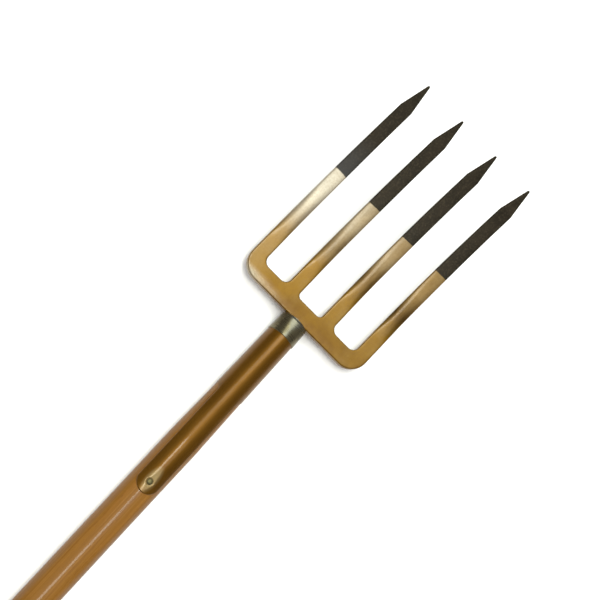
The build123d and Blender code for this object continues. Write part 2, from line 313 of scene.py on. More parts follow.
def back_outline():
    """Outline round the back of the head from its last tine to its first one."""
    side = TINE_CENTRES[-1] + ROOT_HALF_WIDTH
    turn = side - CORNER_RADIUS
    corner = arc((CORNER_RADIUS, turn), CORNER_RADIUS, 90, 180, CORNER_STEPS)
    path = [(Vector((ROOT_STATION, side)), Vector((0, -1)))]
    path += [(point, -outward) for point, outward in corner]
    path += straight((0, turn), (0, -turn), (1, 0))
    corner = arc((CORNER_RADIUS, -turn), CORNER_RADIUS, 180, 270, CORNER_STEPS)
    path += [(point, -outward) for point, outward in corner]
    path.append((Vector((ROOT_STATION, -side)), Vector((0, 1))))
    return path


def inside_outline(point, outline):
    """True if a point of the plan is within a closed outline."""
    within = False
    for a, b in pairs(outline):
        if (a.y > point.y) != (b.y > point.y):
            if point.x < a.x + (b.x - a.x) * (point.y - a.y) / (b.y - a.y):
                within = not within
    return within


def crossbar_middle(outline, pitch=3.0):
    """Points and triangles that fill the flat middle of the crossbar."""
    side = TINE_CENTRES[-1]
    clearance = 0.6 * pitch
    filling = []
    for x in steps(EDGE_LOOPS[-1] + pitch, ROOT_STATION - pitch, 6):
        for y in steps(-side, side, round(2 * side / pitch)):
            point = Vector((x, y))
            clear = min((point - p).length for p in outline) > clearance
            if clear and inside_outline(point, outline):
                filling.append(point)
    border = list(range(len(outline)))
    points, _, faces, *_ = delaunay_2d_cdt(outline + filling, [], [border], 1, 0.001)
    return [(p.x, p.y, EDGE_LOOPS[-1]) for p in points], [tuple(face) for face in faces]


def tine_columns():
    """Places across a tine, from -1 to 1, that follow the edge loops of the crossbar."""
    half = [1 - d / ROOT_HALF_WIDTH for d in EDGE_LOOPS]
    half += [half[-1] * share for share in (0.66, 0.33)]
    return [-t for t in half] + [0] + half[::-1]


def tine_stations():
    """(station, half width) of the rows along a tine, close together round its point."""
    body = steps(ROOT_STATION, SHOULDER_STATION, TINE_ROWS)
    tip = steps(SHOULDER_STATION, POINT_STATION - POINT_WIDTH / 2, POINT_ROWS)[1:]
    rows = [(station, tine_half_width(station)) for station in body + tip]
    end, half = rows[-1]
    for lean in map(math.radians, (25, 50, 70, 84)):
        rows.append((end + POINT_WIDTH / 2 * math.sin(lean), half * math.cos(lean)))
    return rows


def head_plan():
    """Points (station, across, distance from the edge) and faces of the head seen from above."""
    points, faces = [], []

    def add(rows):
        faces.extend(grid_faces(rows, len(points)))
        points.extend(p for row in rows for p in row)

    paths = [back_outline()]
    for i in range(TINE_COUNT - 1):
        fillet = INNER_SLOT_FILLET if i == 1 else OUTER_SLOT_FILLET
        paths.append(slot_outline(TINE_CENTRES[i], TINE_CENTRES[i + 1], fillet))
    for path in paths:
        add([[(*(p + n * d), d) for d in EDGE_LOOPS] for p, n in path])
    columns = tine_columns()
    for centre in TINE_CENTRES:
        rows = []
        for station, half in tine_stations():
            rows.append([(station, centre + t * half, half * (1 - abs(t))) for t in columns])
        add(rows)

    loop = EDGE_LOOPS[-1]
    middle = [p + n * loop for p, n in paths[0]]
    inner = [t for t in columns if abs(t) * ROOT_HALF_WIDTH < ROOT_HALF_WIDTH - loop - 0.01]
    for i, centre in enumerate(TINE_CENTRES):
        middle += [Vector((ROOT_STATION, centre + t * ROOT_HALF_WIDTH)) for t in inner]
        if i < TINE_COUNT - 1:
            middle += [p + n * loop for p, n in paths[i + 1]]
    filled, triangles = crossbar_middle(middle)
    faces.extend(tuple(len(points) + i for i in face) for face in triangles)
    points.extend(filled)
    return points, faces


def weld(points, faces, tolerance=0.02):
    """Joins points that lie together in the plan, and turns every face upwards."""
    cells, index, kept = {}, [], []
    for p in points:
        cell = (round(p[0] / tolerance), round(p[1] / tolerance))
        near = [
            cells[(cell[0] + i, cell[1] + j)]
            for i in (-1, 0, 1)
            for j in (-1, 0, 1)
            if (cell[0] + i, cell[1] + j) in cells
        ]
        close = [k for k in near if math.dist(kept[k][:2], p[:2]) < tolerance]
        if close:
            index.append(close[0])
        else:
            cells[cell] = len(kept)
            index.append(len(kept))
            kept.append(p)
    upward = []
    for face in faces:
        ring = renumbered(face, index)
        area = sum(kept[a][0] * kept[b][1] - kept[b][0] * kept[a][1] for a, b in pairs(ring))
        if len(ring) > 2:
            upward.append(tuple(ring if area > 0 else ring[::-1]))
    return kept, upward


def tang():
    """The tapered square tang, with its corners taken off."""
    rows = []
    for share in steps(0, 1, TANG_ROWS):
        width = TANG_WIDTH + (TANG_POINT - TANG_WIDTH) * share
        depth = TANG_THICKNESS + (TANG_POINT - TANG_THICKNESS) * share
        corners = []
        for sy, sz in ((1, 1), (-1, 1), (-1, -1), (1, -1)):
            a = (sy * (width / 2 - TANG_CHAMFER), sz * depth / 2)
            b = (sy * width / 2, sz * (depth / 2 - TANG_CHAMFER))
            corners += [b, a] if sy == sz else [a, b]
        overlap = TANG_OVERLAP * (1 - share)
        station = overlap - (TANG_LENGTH + TANG_OVERLAP) * share
        rows.append([(station, y, z) for y, z in corners])
    points = [p for row in rows for p in row]
    ring = len(rows[0])
    ends = [tuple(range(ring)), tuple(range(len(points) - ring, len(points)))[::-1]]
    return points, grid_faces(rows, around=True) + ends


def build_head(material):
    """The forged head: crossbar and tines as one shell, and the tang behind them."""
    plan, faces = weld(*head_plan())
    front = [(x, y, head_height(x, y, d, 1)) for x, y, d in plan]
    back = [(x, y, head_height(x, y, d, -1)) for x, y, d in plan]
    walls = [
        [tuple(Vector(a).lerp(Vector(b), share)) for a, b in zip(front, back)]
        for share in (0.25, 0.5, 0.75)
    ]
    points, solid = shell([front, *walls, back], faces)
    tang_points, tang_faces = tang()
    solid += [tuple(len(points) + i for i in face) for face in tang_faces]
    points += tang_points
    make_piece("fork_head_forging", points, solid, "fork_head", material)


# ---------------------------------------------------------------- ferrule

SHEET = 1.3
FIT = 0.05
TUBE_LENGTH = 105.3
FLARE_LENGTH = 75.0
TONGUE_HALF_WIDTH = 14.4
TONGUE_END_RADIUS = 14.8
TONGUE_CORNER = 10.0
TUBE_START = station_of(ferrule_high.x)
TUBE_END = TUBE_START - TUBE_LENGTH
FLARE_END = TUBE_END - FLARE_LENGTH
TONGUE_END = station_of(ferrule_low.x)
TONGUE_END_CENTRE = TONGUE_END + TONGUE_END_RADIUS
RIVET_STATION = station_of((rivet_low.x + rivet_high.x) / 2)
GRIP_RADIUS = 19.0
SWELL_RADIUS = height_of(handle_high.z) - 0.02
SEAM_HALF_GAP = 0.2
# The wood under the ferrule, as (station, radius) at the corners of its profile.
SEAT = (
    (TUBE_START, GRIP_RADIUS - 3.5),
    (TUBE_END, GRIP_RADIUS - 2.2),
    (FLARE_END, SWELL_RADIUS),
    (TONGUE_END - 2.6, GRIP_RADIUS),
)
PROFILE_SOFTENING = 7.0
RING_LENGTH = (ring_high.x - ring_low.x) / MM
# The collar's front is pressed flat towards the crossbar, in full from PRESS_FULL on.
PRESS_DEPTH = 1.9
PRESS_FULL = -4.0
PRESS_HALF_ANGLE = math.radians(58)
MOUTH_ROUNDING = 0.8
MOUTH_DROP = 0.5
FERRULE_DENT = 0.05
FERRULE_DENT_LENGTH = 30
TONGUE_EDGE_ROUNDING = 1.0
TONGUE_EDGE_DEPTH = 0.8 * SHEET
DIMPLE_RADIUS = 5.2
DIMPLE_FLOOR_RADIUS = 2.8
DIMPLE_DEPTH = 1.0
# The flat hollow round the dimple, from HOLLOW_END behind the rivet to HOLLOW_LENGTH before it.
HOLLOW_LENGTH = 20.0
HOLLOW_END = 11.0
HOLLOW_DEPTH = 0.6
HOLLOW_FADE_POWER = 1.5
HOLLOW_SHIFT = 0.8
HOLLOW_SOFTNESS = 0.12


def front_press(station, turn):
    """How far the collar, and what lies in it, is pressed flat on the front by the crossbar."""
    share = math.cos(min(PRESS_HALF_ANGLE, abs(turn)) / PRESS_HALF_ANGLE * math.pi / 2) ** 2
    return PRESS_DEPTH * share * smooth_step(station, -RING_LENGTH, PRESS_FULL)


def seat_radius(station):
    """Radius of the wood that the ferrule lies on, with the bends of its profile softened."""
    total = 0.0
    reach = steps(-PROFILE_SOFTENING, PROFILE_SOFTENING, 6)
    for offset in reach:
        place = min(SEAT[0][0], max(SEAT[-1][0], station + offset))
        for (start, first), (end, second) in zip(SEAT, SEAT[1:]):
            if place >= end:
                break
        total += first + (second - first) * (place - start) / (end - start)
    return total / len(reach)


def ferrule_radius(station):
    """Outer radius of the ferrule."""
    return seat_radius(station) + FIT + SHEET


def dimple_drop(station, across):
    """How far the tongue is pressed in, at the rivet's dimple and the flat hollow around it."""
    along = station - RIVET_STATION
    reach = math.hypot(along, across)
    length = HOLLOW_LENGTH if along > 0 else HOLLOW_END
    if abs(along) >= length:
        return 0.0
    dimple = DIMPLE_DEPTH * smooth_step(-reach, -DIMPLE_RADIUS, -DIMPLE_FLOOR_RADIUS)
    depth = HOLLOW_DEPTH * (1 - abs(along) / length) ** HOLLOW_FADE_POWER
    flat = depth - (across + HOLLOW_SHIFT) ** 2 / (2 * GRIP_RADIUS)
    flat = (flat + math.hypot(flat, HOLLOW_SOFTNESS * depth / HOLLOW_DEPTH)) / 2
    return max(dimple, flat)


def tongue_edge_drop(station, across):
    """How far the outer face of the tongue is rounded down towards its edge."""
    if station > TUBE_END:
        return 0.0
    distance = TONGUE_HALF_WIDTH - abs(across)
    if station < TONGUE_END_CENTRE:
        to_end = TONGUE_END_RADIUS - math.hypot(station - TONGUE_END_CENTRE, across)
        distance = min(distance, to_end)
    if station > TUBE_END - TONGUE_CORNER:
        into_corner = 1 - (TUBE_END - station) / TONGUE_CORNER
        distance = max(distance, TONGUE_EDGE_ROUNDING * into_corner)
    inside = min(1.0, max(0.0, distance / TONGUE_EDGE_ROUNDING))
    return TONGUE_EDGE_DEPTH * (1 - math.sqrt(1 - (1 - inside) ** 2))


def tongue_rows():
    """(station, widest angle from the top) of the rows from the tube's end to the tongue's tip."""
    rows = []
    for turn in map(math.radians, (0, 8, 18, 30, 45, 60, 75, 90)):
        station = TUBE_END - TONGUE_CORNER * (1 - math.cos(turn))
        radius = ferrule_radius(station)
        edge = math.sqrt(radius**2 - TONGUE_HALF_WIDTH**2) - TONGUE_CORNER * (1 - math.sin(turn))
        rows.append((station, math.acos(edge / radius)))
    narrowing = TONGUE_END_CENTRE - math.sqrt(TONGUE_END_RADIUS**2 - TONGUE_HALF_WIDTH**2)
    hollow_start = RIVET_STATION + HOLLOW_LENGTH
    body = steps(rows[-1][0], hollow_start, 22)[1:] + steps(hollow_start, narrowing, 46)[1:]
    for station in body:
        rows.append((station, math.asin(TONGUE_HALF_WIDTH / ferrule_radius(station))))
    start = math.asin((TONGUE_END_CENTRE - narrowing) / TONGUE_END_RADIUS)
    for turn in steps(start, math.pi / 2, 26)[1:]:
        station = TONGUE_END_CENTRE - TONGUE_END_RADIUS * math.sin(turn)
        half = TONGUE_END_RADIUS * math.cos(turn)
        rows.append((station, math.asin(half / ferrule_radius(station))))
    return rows


def ferrule_layers(points):
    """Outer and inner points over (station, angle) places on the ferrule."""
    outer, inner = [], []
    for station, angle in points:
        radius = ferrule_radius(station)
        across, height = radius * math.sin(angle), radius * math.cos(angle)
        pressed = dimple_drop(station, across) if height > 0 else 0.0
        pressed += front_press(station, angle)
        worn = tongue_edge_drop(station, across) if height > 0 else 0.0
        worn += MOUTH_DROP * (1 - smooth_step(TUBE_START - station, 0, MOUTH_ROUNDING))
        worn += FERRULE_DENT * (1 + ripple(station, across, height, FERRULE_DENT_LENGTH))
        outer.append(on_axis(station, radius - pressed - worn, angle))
        inner.append(on_axis(station, radius - pressed - SHEET, angle))
    return outer, inner


def build_ferrule(material):
    """The rolled ferrule: a seamed tube that runs on as one long riveted tongue."""
    edge = [1 - d / TONGUE_HALF_WIDTH for d in (0, 0.15, 0.4, 0.75, 1.1, 1.7, 2.5)]
    half = edge + [edge[-1] * i / 16 for i in range(15, 0, -1)]
    columns = [-t for t in half] + [0] + half[::-1]
    rows = tongue_rows()
    widest = rows[0][1]
    tube_sides = steps(widest, math.pi - SEAM_HALF_GAP / GRIP_RADIUS, 26)[1:]
    angles = [-a for a in tube_sides[::-1]] + [t * widest for t in columns] + tube_sides
    tube_rows = [TUBE_START - d for d in (0, 0.3, MOUTH_ROUNDING)]
    tube_rows += steps(TUBE_START - 3, TUBE_END, 26)
    tube = [[(station, angle) for angle in angles] for station in tube_rows]
    tongue = [[(station, t * limit) for t in columns] for station, limit in rows[1:]]
    tongue.insert(0, tube[-1][len(tube_sides) : len(tube_sides) + len(columns)])
    places = [p for row in tube + tongue for p in row]
    faces = grid_faces(tube) + grid_faces(tongue, len(tube) * len(angles))
    joined = {}
    index = [joined.setdefault((round(s, 4), round(a, 6)), i) for i, (s, a) in enumerate(places)]
    rings = [renumbered(face, index) for face in faces]
    whole = [tuple(ring) for ring in rings if len(set(ring)) == len(ring) > 2]
    points, solid = shell(ferrule_layers(places), whole)
    make_piece("ferrule_sheet", points, solid, "tongued_ferrule", material)


# ---------------------------------------------------------------- collar, rivet and washer

RING_OPENING_RADIUS = 9.6
RING_MOUTH_RADIUS = 14
RING_WALL_RADIUS = 17.2
RING_NOSE_LENGTH = 3.6
RING_NOSE_RADIUS = 12.4
RING_NOSE_RISE = 4.75
RING_DENT = 0.06
RING_DENT_LENGTH = 11
DOME_RADIUS = 3.2
DOME_HEIGHT = 0.5
SHANK_RADIUS = 2.5
PEEN_RADIUS = 3.6
PEEN_HEIGHT = 0.5
HAMMER_DEPTH = 0.12
HAMMER_LENGTH = 1.6
WASHER_BORE = 2.6


def on_rivet(height, radius, turn):
    """Point at a turn round the rivet's upright axis."""
    return (RIVET_STATION + radius * math.cos(turn), radius * math.sin(turn), height)


def build_ring(material):
    """The bright collar: a thin ring drawn in over the end of the ferrule."""
    top = -RING_GAP
    end = top - RING_LENGTH
    inner_top = top - 0.9
    nose = []
    for turn in steps(math.pi / 2, 0, 12):
        along = top - RING_NOSE_LENGTH * (1 - math.sin(turn))
        nose.append((along, RING_NOSE_RADIUS + RING_NOSE_RISE * math.cos(turn)))
    wall = [
        (top - 9, 17.32), (top - 14, 17.45), (top - 18, 17.6), (end + 5.2, 17.78),
        (end + 3.6, 17.86), (end + 2.2, 17.84), (end + 1, 17.9), (end + 0.3, 17.84), (end, 17.6),
    ]
    inside = [
        (end, 17.12), (end + 10, ferrule_radius(end + 10) + FIT), (top - 6, 16.9),
        (top - 4.2, 16.7), (inner_top - 1, 15.6), (inner_top, RING_MOUTH_RADIUS),
        (inner_top, 9.9),
    ]
    outline = [(top - 0.25, RING_OPENING_RADIUS), (top, 9.9)] + nose + wall + inside

    def place(along, radius, turn):
        dent = press = 0.0
        if along < top - 2 and radius > RING_WALL_RADIUS:
            dent = RING_DENT * (1 + ripple(*on_axis(along, radius, turn), RING_DENT_LENGTH))
        if radius > RING_MOUTH_RADIUS:
            press = front_press(along, math.remainder(turn, math.tau))
        return on_axis(along, radius - dent - press, turn)

    points, faces = turned(outline, 120, place)
    make_piece("collar_ring", points, faces, "ferrule_ring", material)


def build_rivet(material):
    """The rivet: a hammered low dome in the dimple, a shank and a peened end."""
    base = ferrule_radius(RIVET_STATION) - DIMPLE_DEPTH
    peen_base = height_of(rivet_low.z) + PEEN_HEIGHT
    dome = [
        (base + 0.3 + DOME_HEIGHT * (1 - share**2), DOME_RADIUS * share)
        for share in steps(0, 1, 10)
    ]
    shank = [
        (base + 0.15, DOME_RADIUS + 0.05), (base - 0.2, DOME_RADIUS - 0.2),
        (base - 0.3, SHANK_RADIUS), (peen_base, SHANK_RADIUS),
    ]
    peen = [
        (peen_base - PEEN_HEIGHT * math.sin(a), PEEN_RADIUS * math.cos(a))
        for a in steps(0, math.pi / 2, 5)
    ]

    def place(height, radius, turn):
        if radius > SHANK_RADIUS + 0.1:
            x, y = radius * math.cos(turn), radius * math.sin(turn)
            height -= HAMMER_DEPTH * abs(ripple(x, y, height, HAMMER_LENGTH))
        return on_rivet(height, radius, turn)

    points, faces = turned(dome + shank + peen, 48, place)
    make_piece("rivet_forging", points, faces, "tongue_rivet", material)


def build_washer(material):
    """The burr under the rivet's peened end, slightly drawn up at its rim."""
    top, low = height_of(washer_high.z), height_of(washer_low.z)
    outline = [
        (top, WASHER_BORE), (top, 5.75), (top - 0.1, 5.95), (low + 0.35, 6.0), (low + 0.1, 5.9),
        (low, 5.7), (low, 4.4), (low + 0.05, 3.8), (low, 3.0), (low + 0.1, WASHER_BORE),
    ]
    points, faces = turned(outline, 64, on_rivet)
    make_piece("washer_burr", points, faces, "rivet_washer", material)


# ---------------------------------------------------------------- handle

BED_MARGIN = 0.3
WASHER_MARGIN = 0.3
CUTTER_SIDES = 96
# The recess's cut leaves edges shorter than this, which are closed up again.
SLIVER = 0.005
CREASE_ANGLE = math.radians(40)
SHOULDER_RADIUS = GRIP_RADIUS - 1.35
TOP_ROUNDING = 3.5
BUTT_ROUNDING = 13.0
# The bare wood is uneven by this much, in long narrow waves along the grain.
WOOD_WAVE = 0.05
WOOD_WAVE_LENGTH = 70
WOOD_WAVE_WIDTH = 9
HANDLE_TOP = station_of(handle_high.x)
HANDLE_BUTT = station_of(handle_low.x)
WOOD_SHOULDER = TUBE_END - BED_MARGIN


def bare_radius(station):
    """Radius of the bare wood beyond the ferrule's tube."""
    if station > WOOD_SHOULDER:
        return seat_radius(station)
    if station > FLARE_END:
        share = (WOOD_SHOULDER - station) / (WOOD_SHOULDER - FLARE_END)
        return SHOULDER_RADIUS + (SWELL_RADIUS - SHOULDER_RADIUS) * share
    share = min(1.0, (FLARE_END - station) / (FLARE_END - SEAT[-1][0]))
    radius = SWELL_RADIUS + (GRIP_RADIUS - SWELL_RADIUS) * share
    from_butt = station - HANDLE_BUTT
    if from_butt < BUTT_ROUNDING:
        lean = (BUTT_ROUNDING - from_butt) / BUTT_ROUNDING
        radius -= BUTT_ROUNDING * (1 - math.sqrt(max(0.0, 1 - lean**2)))
    return radius


def handle_stations():
    """Stations of the rings of points along the handle, from its top to its butt."""
    rounded, butt = HANDLE_TOP - TOP_ROUNDING, HANDLE_BUTT + BUTT_ROUNDING
    dimple = RIVET_STATION + 8
    stations = [HANDLE_TOP, HANDLE_TOP - 1] + steps(rounded, WOOD_SHOULDER + 0.05, 12)
    stations += steps(WOOD_SHOULDER, FLARE_END, 24) + steps(FLARE_END, dimple, 14)[1:]
    stations += steps(dimple, TONGUE_END, 22)[1:] + steps(TONGUE_END, butt, 110)[1:]
    turns = steps(0, math.pi / 2, 12)[1:]
    return stations + [HANDLE_BUTT + BUTT_ROUNDING * (1 - math.sin(turn)) for turn in turns]


def wood_point(station, share, beyond):
    """Point of the handle's surface: share runs across the tongue's bed, beyond on to the back."""
    edge_place = max(RIVET_STATION, min(WOOD_SHOULDER, station))
    half_bed = TONGUE_HALF_WIDTH + BED_MARGIN
    limit = math.asin(half_bed / bare_radius(edge_place))
    angle = share * limit if beyond is None else share * (limit + (math.pi - limit) * beyond)
    radius = bare_radius(station)
    if beyond is None and abs(share) < 1 and station > TONGUE_END:
        pressed = dimple_drop(station, radius * math.sin(angle)) if station < WOOD_SHOULDER else 0
        radius = min(radius, seat_radius(station)) - pressed
    radius -= front_press(station, angle)
    if station > HANDLE_TOP - TOP_ROUNDING:
        lean = 1 - (HANDLE_TOP - station) / TOP_ROUNDING
        radius -= TOP_ROUNDING * (1 - math.sqrt(max(0.0, 1 - lean**2)))
    if station < TONGUE_END - 3:
        x, y, z = on_axis(station, radius, angle)
        place = Vector((x / WOOD_WAVE_LENGTH, y / WOOD_WAVE_WIDTH, z / WOOD_WAVE_WIDTH))
        radius -= WOOD_WAVE * (1 + noise.noise(place))
    return on_axis(station, radius, angle)


def cut_washer_recess(piece):
    """Cuts the round recess for the burr into the back of the handle."""
    radius = (washer_high.x - washer_low.x) / MM / 2 + WASHER_MARGIN
    floor, below = height_of(washer_high.z), height_of(handle_low.z) - 5
    turns = [math.tau * i / CUTTER_SIDES for i in range(CUTTER_SIDES)]
    layers = [
        [BACK_EDGE + MM * Vector(on_rivet(height, radius, turn)) for turn in turns]
        for height in (floor, below)
    ]
    points, faces = shell(layers, [tuple(range(CUTTER_SIDES))])
    mesh = bpy.data.meshes.new("recess_cutter")
    mesh.from_pydata(points, [], faces)
    cutter = bpy.data.objects.new("recess_cutter", mesh)
    bpy.context.scene.collection.objects.link(cutter)
    cut = piece.modifiers.new("recess", "BOOLEAN")
    cut.operation, cut.solver, cut.object = "DIFFERENCE", "EXACT", cutter
    cut_piece = piece.evaluated_get(bpy.context.evaluated_depsgraph_get())
    cut_mesh = bpy.data.meshes.new_from_object(cut_piece)
    piece.modifiers.remove(cut)
    bpy.data.objects.remove(cutter)
    slivers = bmesh.new()
    slivers.from_mesh(cut_mesh)
    bmesh.ops.remove_doubles(slivers, verts=slivers.verts, dist=SLIVER * MM)
    slivers.to_mesh(cut_mesh)
    slivers.free()
    cut_mesh.set_sharp_from_angle(angle=CREASE_ANGLE)
    piece.data = cut_mesh


def build_handle(material):
    """The turned ash handle, with the bed that is shaved for the ferrule's tongue."""
    half = [1.0, 0.995, 0.9] + [0.9 * i / 9 for i in range(8, 0, -1)]
    bed = [(t, None) for t in [-t for t in half] + [0] + half[::-1]]
    side = steps(0, 1, 36)[1:-1]
    columns = bed + [(1, share) for share in side + [1.0]] + [(-1, share) for share in side[::-1]]
    rows = [[wood_point(station, *column) for column in columns] for station in handle_stations()]
    points = [p for row in rows for p in row]
    faces = grid_faces(rows, around=True)
    last = len(points) - len(columns)
    points += [(HANDLE_TOP, 0, 0), (HANDLE_BUTT, 0, 0)]
    for i in range(len(columns)):
        beside = (i + 1) % len(columns)
        faces.append((len(points) - 2, beside, i))
        faces.append((len(points) - 1, last + i, last + beside))
    cut_washer_recess(make_piece("handle_stick", points, faces, "handle", material))


# ---------------------------------------------------------------- finishes

# Colours are linear. Materials work in metres in the frame's terms, with the station counted from
# the crossbar's back edge. The dip starts at DIP_START millimetres along the head's curve.
GOLD_DARK, GOLD_LIGHT = (0.164, 0.083, 0.004), (0.19, 0.101, 0.007)
# Painted highlights: a paler gold, and a near-white one where the highlight is strongest.
GOLD_PAINTED_HIGHLIGHT = (0.29, 0.245, 0.17)
GOLD_WHITE_HIGHLIGHT = (0.42, 0.375, 0.30)
GOLD_SCALE = (0.10, 0.045, 0.008)
# Painted shade: the dark brown of the streaks on the right tines' flanks.
GOLD_FLANK_SHADE = (0.06, 0.03, 0.004)
GOLD_CROSSBAR = (0.11, 0.049, 0.003)
DIP_DARK, DIP_LIGHT = (0.006, 0.0045, 0.0025), (0.017, 0.012, 0.007)
DIP_SPECK = (0.032, 0.024, 0.014)
# Painted sheen: the bluish grey at the start of the outer left tine's dip.
DIP_PAINTED_SHEEN = (0.036, 0.038, 0.044)
DIP_TINT = (1.0, 0.93, 0.8)
DIP_START = 153.0
DIP_BLUR = 0.0009
BRONZE_DARK, BRONZE_LIGHT = (0.124, 0.052, 0.002), (0.148, 0.064, 0.003)
BRONZE_DRAWN = (0.064, 0.024, 0.0015)
# A paler patch round the rivet, and its length and width.
BRONZE_PALE_PATCH = (0.25, 0.20, 0.10)
RIVET_PATCH_LENGTH, RIVET_PATCH_WIDTH = 0.019, 0.008
STEEL_DARK, STEEL_LIGHT = (0.125, 0.106, 0.06), (0.175, 0.15, 0.09)
STEEL_STAIN = (0.10, 0.085, 0.05)
# Painted highlight: the pale grey of a wedge on the collar's front.
STEEL_PAINTED_HIGHLIGHT = (0.145, 0.136, 0.108)
RIVET_DARK, RIVET_LIGHT = (0.085, 0.074, 0.032), (0.145, 0.126, 0.06)
ASH_DARK, ASH_LIGHT = (0.156, 0.067, 0.009), (0.214, 0.095, 0.016)
ASH_EARLY = (0.15, 0.055, 0.008)
ASH_FIBRE = (0.34, 0.165, 0.04)
ASH_PORE = (0.08, 0.03, 0.006)
PITH_PLACE = (0, 0.021, 0.052)
PITH_LEAN = (0, 0.012, 0.016)
FLOOR_DARK, FLOOR_LIGHT = (0.91, 0.91, 0.915), (0.93, 0.93, 0.93)


class Finish:
    """A material in the making, with short ways to add nodes and to join them."""

    def __init__(self, name):
        self.material = bpy.data.materials.new(name)
        self.material.use_nodes = True
        self.tree = self.material.node_tree
        self.tree.nodes.clear()
        self.output = self.tree.nodes.new("ShaderNodeOutputMaterial")
        self.place = self.add("TexCoord").outputs["Object"]

    def add(self, kind, settings=None, **inputs):
        """A node with its settings, and inputs as numbers, vectors, colours or outputs."""
        node = self.tree.nodes.new("ShaderNode" + kind)
        for key, value in (settings or {}).items():
            setattr(node, key, value)
        for key, value in inputs.items():
            self.feed(node.inputs[key.replace("_", " ")], value)
        return node

    def feed(self, socket, value):
        """Links an output to the socket, or gives the socket a plain number, vector or colour."""
        if isinstance(value, bpy.types.NodeSocket):
            self.tree.links.new(value, socket)
        else:
            socket.default_value = (*value, 1) if socket.type == "RGBA" else value

    def math(self, operation, *values):
        """Result of an operation on numbers or outputs."""
        node = self.add("Math", {"operation": operation})
        for socket, value in zip(node.inputs, values):
            self.feed(socket, value)
        return node.outputs[0]

    plus = partialmethod(math, "ADD")
    minus = partialmethod(math, "SUBTRACT")
    times = partialmethod(math, "MULTIPLY")
    over = partialmethod(math, "DIVIDE")

    def clamped(self, value):
        """The value, held between 0 and 1."""
        return self.add("Clamp", Value=value).outputs[0]

    def slope(self, value, start, end, low=0.0, high=1.0):
        """An even change from low to high as the value goes from start to end, level beyond."""
        node = self.add(
            "MapRange", Value=value, From_Min=start, From_Max=end, To_Min=low, To_Max=high
        )
        return node.outputs[0]

    def axes(self):
        """The place along X, Y and Z, each on its own."""
        return self.add("SeparateXYZ", Vector=self.place).outputs

    def stretched(self, x, y, z):
        """Places in the object, scaled differently along each axis."""
        return self.add("Mapping", Vector=self.place, Scale=(x, y, z)).outputs[0]

    def noise(self, vector, scale, detail=3.0, roughness=0.55):
        """Value of a noise pattern."""
        node = self.add("TexNoise", Vector=vector, Scale=scale, Detail=detail, Roughness=roughness)
        return node.outputs[0]

    def ramp(self, value, *stops):
        """Colours, or greys given as one number, over a value."""
        node = self.add("ValToRGB", Fac=value)
        elements = node.color_ramp.elements
        while len(elements) < len(stops):
            elements.new(0.5)
        for element, (position, colour) in zip(elements, stops):
            element.position = position
            grey = isinstance(colour, (int, float))
            element.color = (colour, colour, colour, 1) if grey else (*colour, 1)
        return node.outputs[0]

    def mix(self, share, first, second):
        """A mix of two colours."""
        node = self.add("Mix", {"data_type": "RGBA"})
        for socket, value in zip((node.inputs[0], *node.inputs[6:8]), (share, first, second)):
            self.feed(socket, value)
        return node.outputs[2]

    def bump(self, height, distance, strength=1.0, normal=None):
        """Normal bent by a height pattern, whose full range is distance metres."""
        node = self.add("Bump", Height=height, Distance=distance, Strength=strength)
        if normal is not None:
            self.feed(node.inputs["Normal"], normal)
        return node.outputs[0]

    def shader(self, **inputs):
        """A principled shader."""
        return self.add("BsdfPrincipled", **inputs).outputs[0]

    def finish(self, surface):
        """The material, once its surface shader is made."""
        self.tree.links.new(surface, self.output.inputs["Surface"])
        return self.material


def lacquer_shader(f, station, across, outer, scale, forged):
    """Gold lacquer: paler towards the dip and on the left with painted highlights, darker in
    streaks of painted shade on the right tines, browner on the bar.
    """
    patches = f.noise(f.place, 38, 4)
    left = f.slope(across, -0.06, 0.085)
    # Painted highlight: paler gold towards the dip, most on the left tines and the outer left one,
    # and along the left corner's back edge.
    ends = f.times(f.slope(station, 0.058, 0.118), f.plus(f.times(left, 0.75), 0.25))
    corner = f.slope(across, 0.03, 0.075)
    back_edge_highlight = f.times(f.slope(station, 0.013, 0.002), f.times(corner, 0.9))
    pale = f.math("MAXIMUM", f.math("MAXIMUM", ends, outer), back_edge_highlight)
    pale = f.plus(pale, f.times(f.minus(patches, 0.5), 0.4))
    # Painted highlight: the outer left tine turns nearly white towards the dip.
    white_highlight = f.times(ends, f.times(outer, 5.5))
    # Painted shade: dark streaks on the right tines' flanks, about 57 to 117 mm from the crossbar's
    # back edge.
    from_flank = f.over(f.math("ABSOLUTE", f.minus(station, 0.087)), 0.03)
    flank_shade = f.times(f.clamped(f.minus(1.0, from_flank)), f.minus(1.0, left))
    streaks = f.noise(f.stretched(25, 160, 160), 1, 3)
    flank_shade = f.times(flank_shade, f.ramp(streaks, (0.36, 0.5), (0.55, 1)))
    clouds = f.ramp(f.noise(f.place, 62, 3, 0.6), (0.35, 0.25), (0.62, 0.85))
    crossbar = f.times(f.times(f.slope(station, 0.03, 0.01), clouds), f.minus(1.0, corner))

    gold = f.ramp(patches, (0.3, GOLD_DARK), (0.7, GOLD_LIGHT))
    gold = f.mix(f.clamped(pale), gold, GOLD_PAINTED_HIGHLIGHT)
    gold = f.mix(f.clamped(white_highlight), gold, GOLD_WHITE_HIGHLIGHT)
    gold = f.mix(f.ramp(scale, (0.42, 0), (0.75, 0.3)), gold, GOLD_SCALE)
    gold = f.mix(flank_shade, gold, GOLD_FLANK_SHADE)
    gold = f.mix(f.times(crossbar, 0.9), gold, GOLD_CROSSBAR)
    return f.shader(
        Base_Color=gold, Metallic=0.6, Roughness=f.ramp(patches, (0.3, 0.38), (0.75, 0.48)),
        Normal=f.bump(scale, 0.00012, 0.35, f.bump(forged, 0.0009, 0.25)),
        Coat_Weight=0.25, Coat_Roughness=0.14, Specular_IOR_Level=0.25,
    )


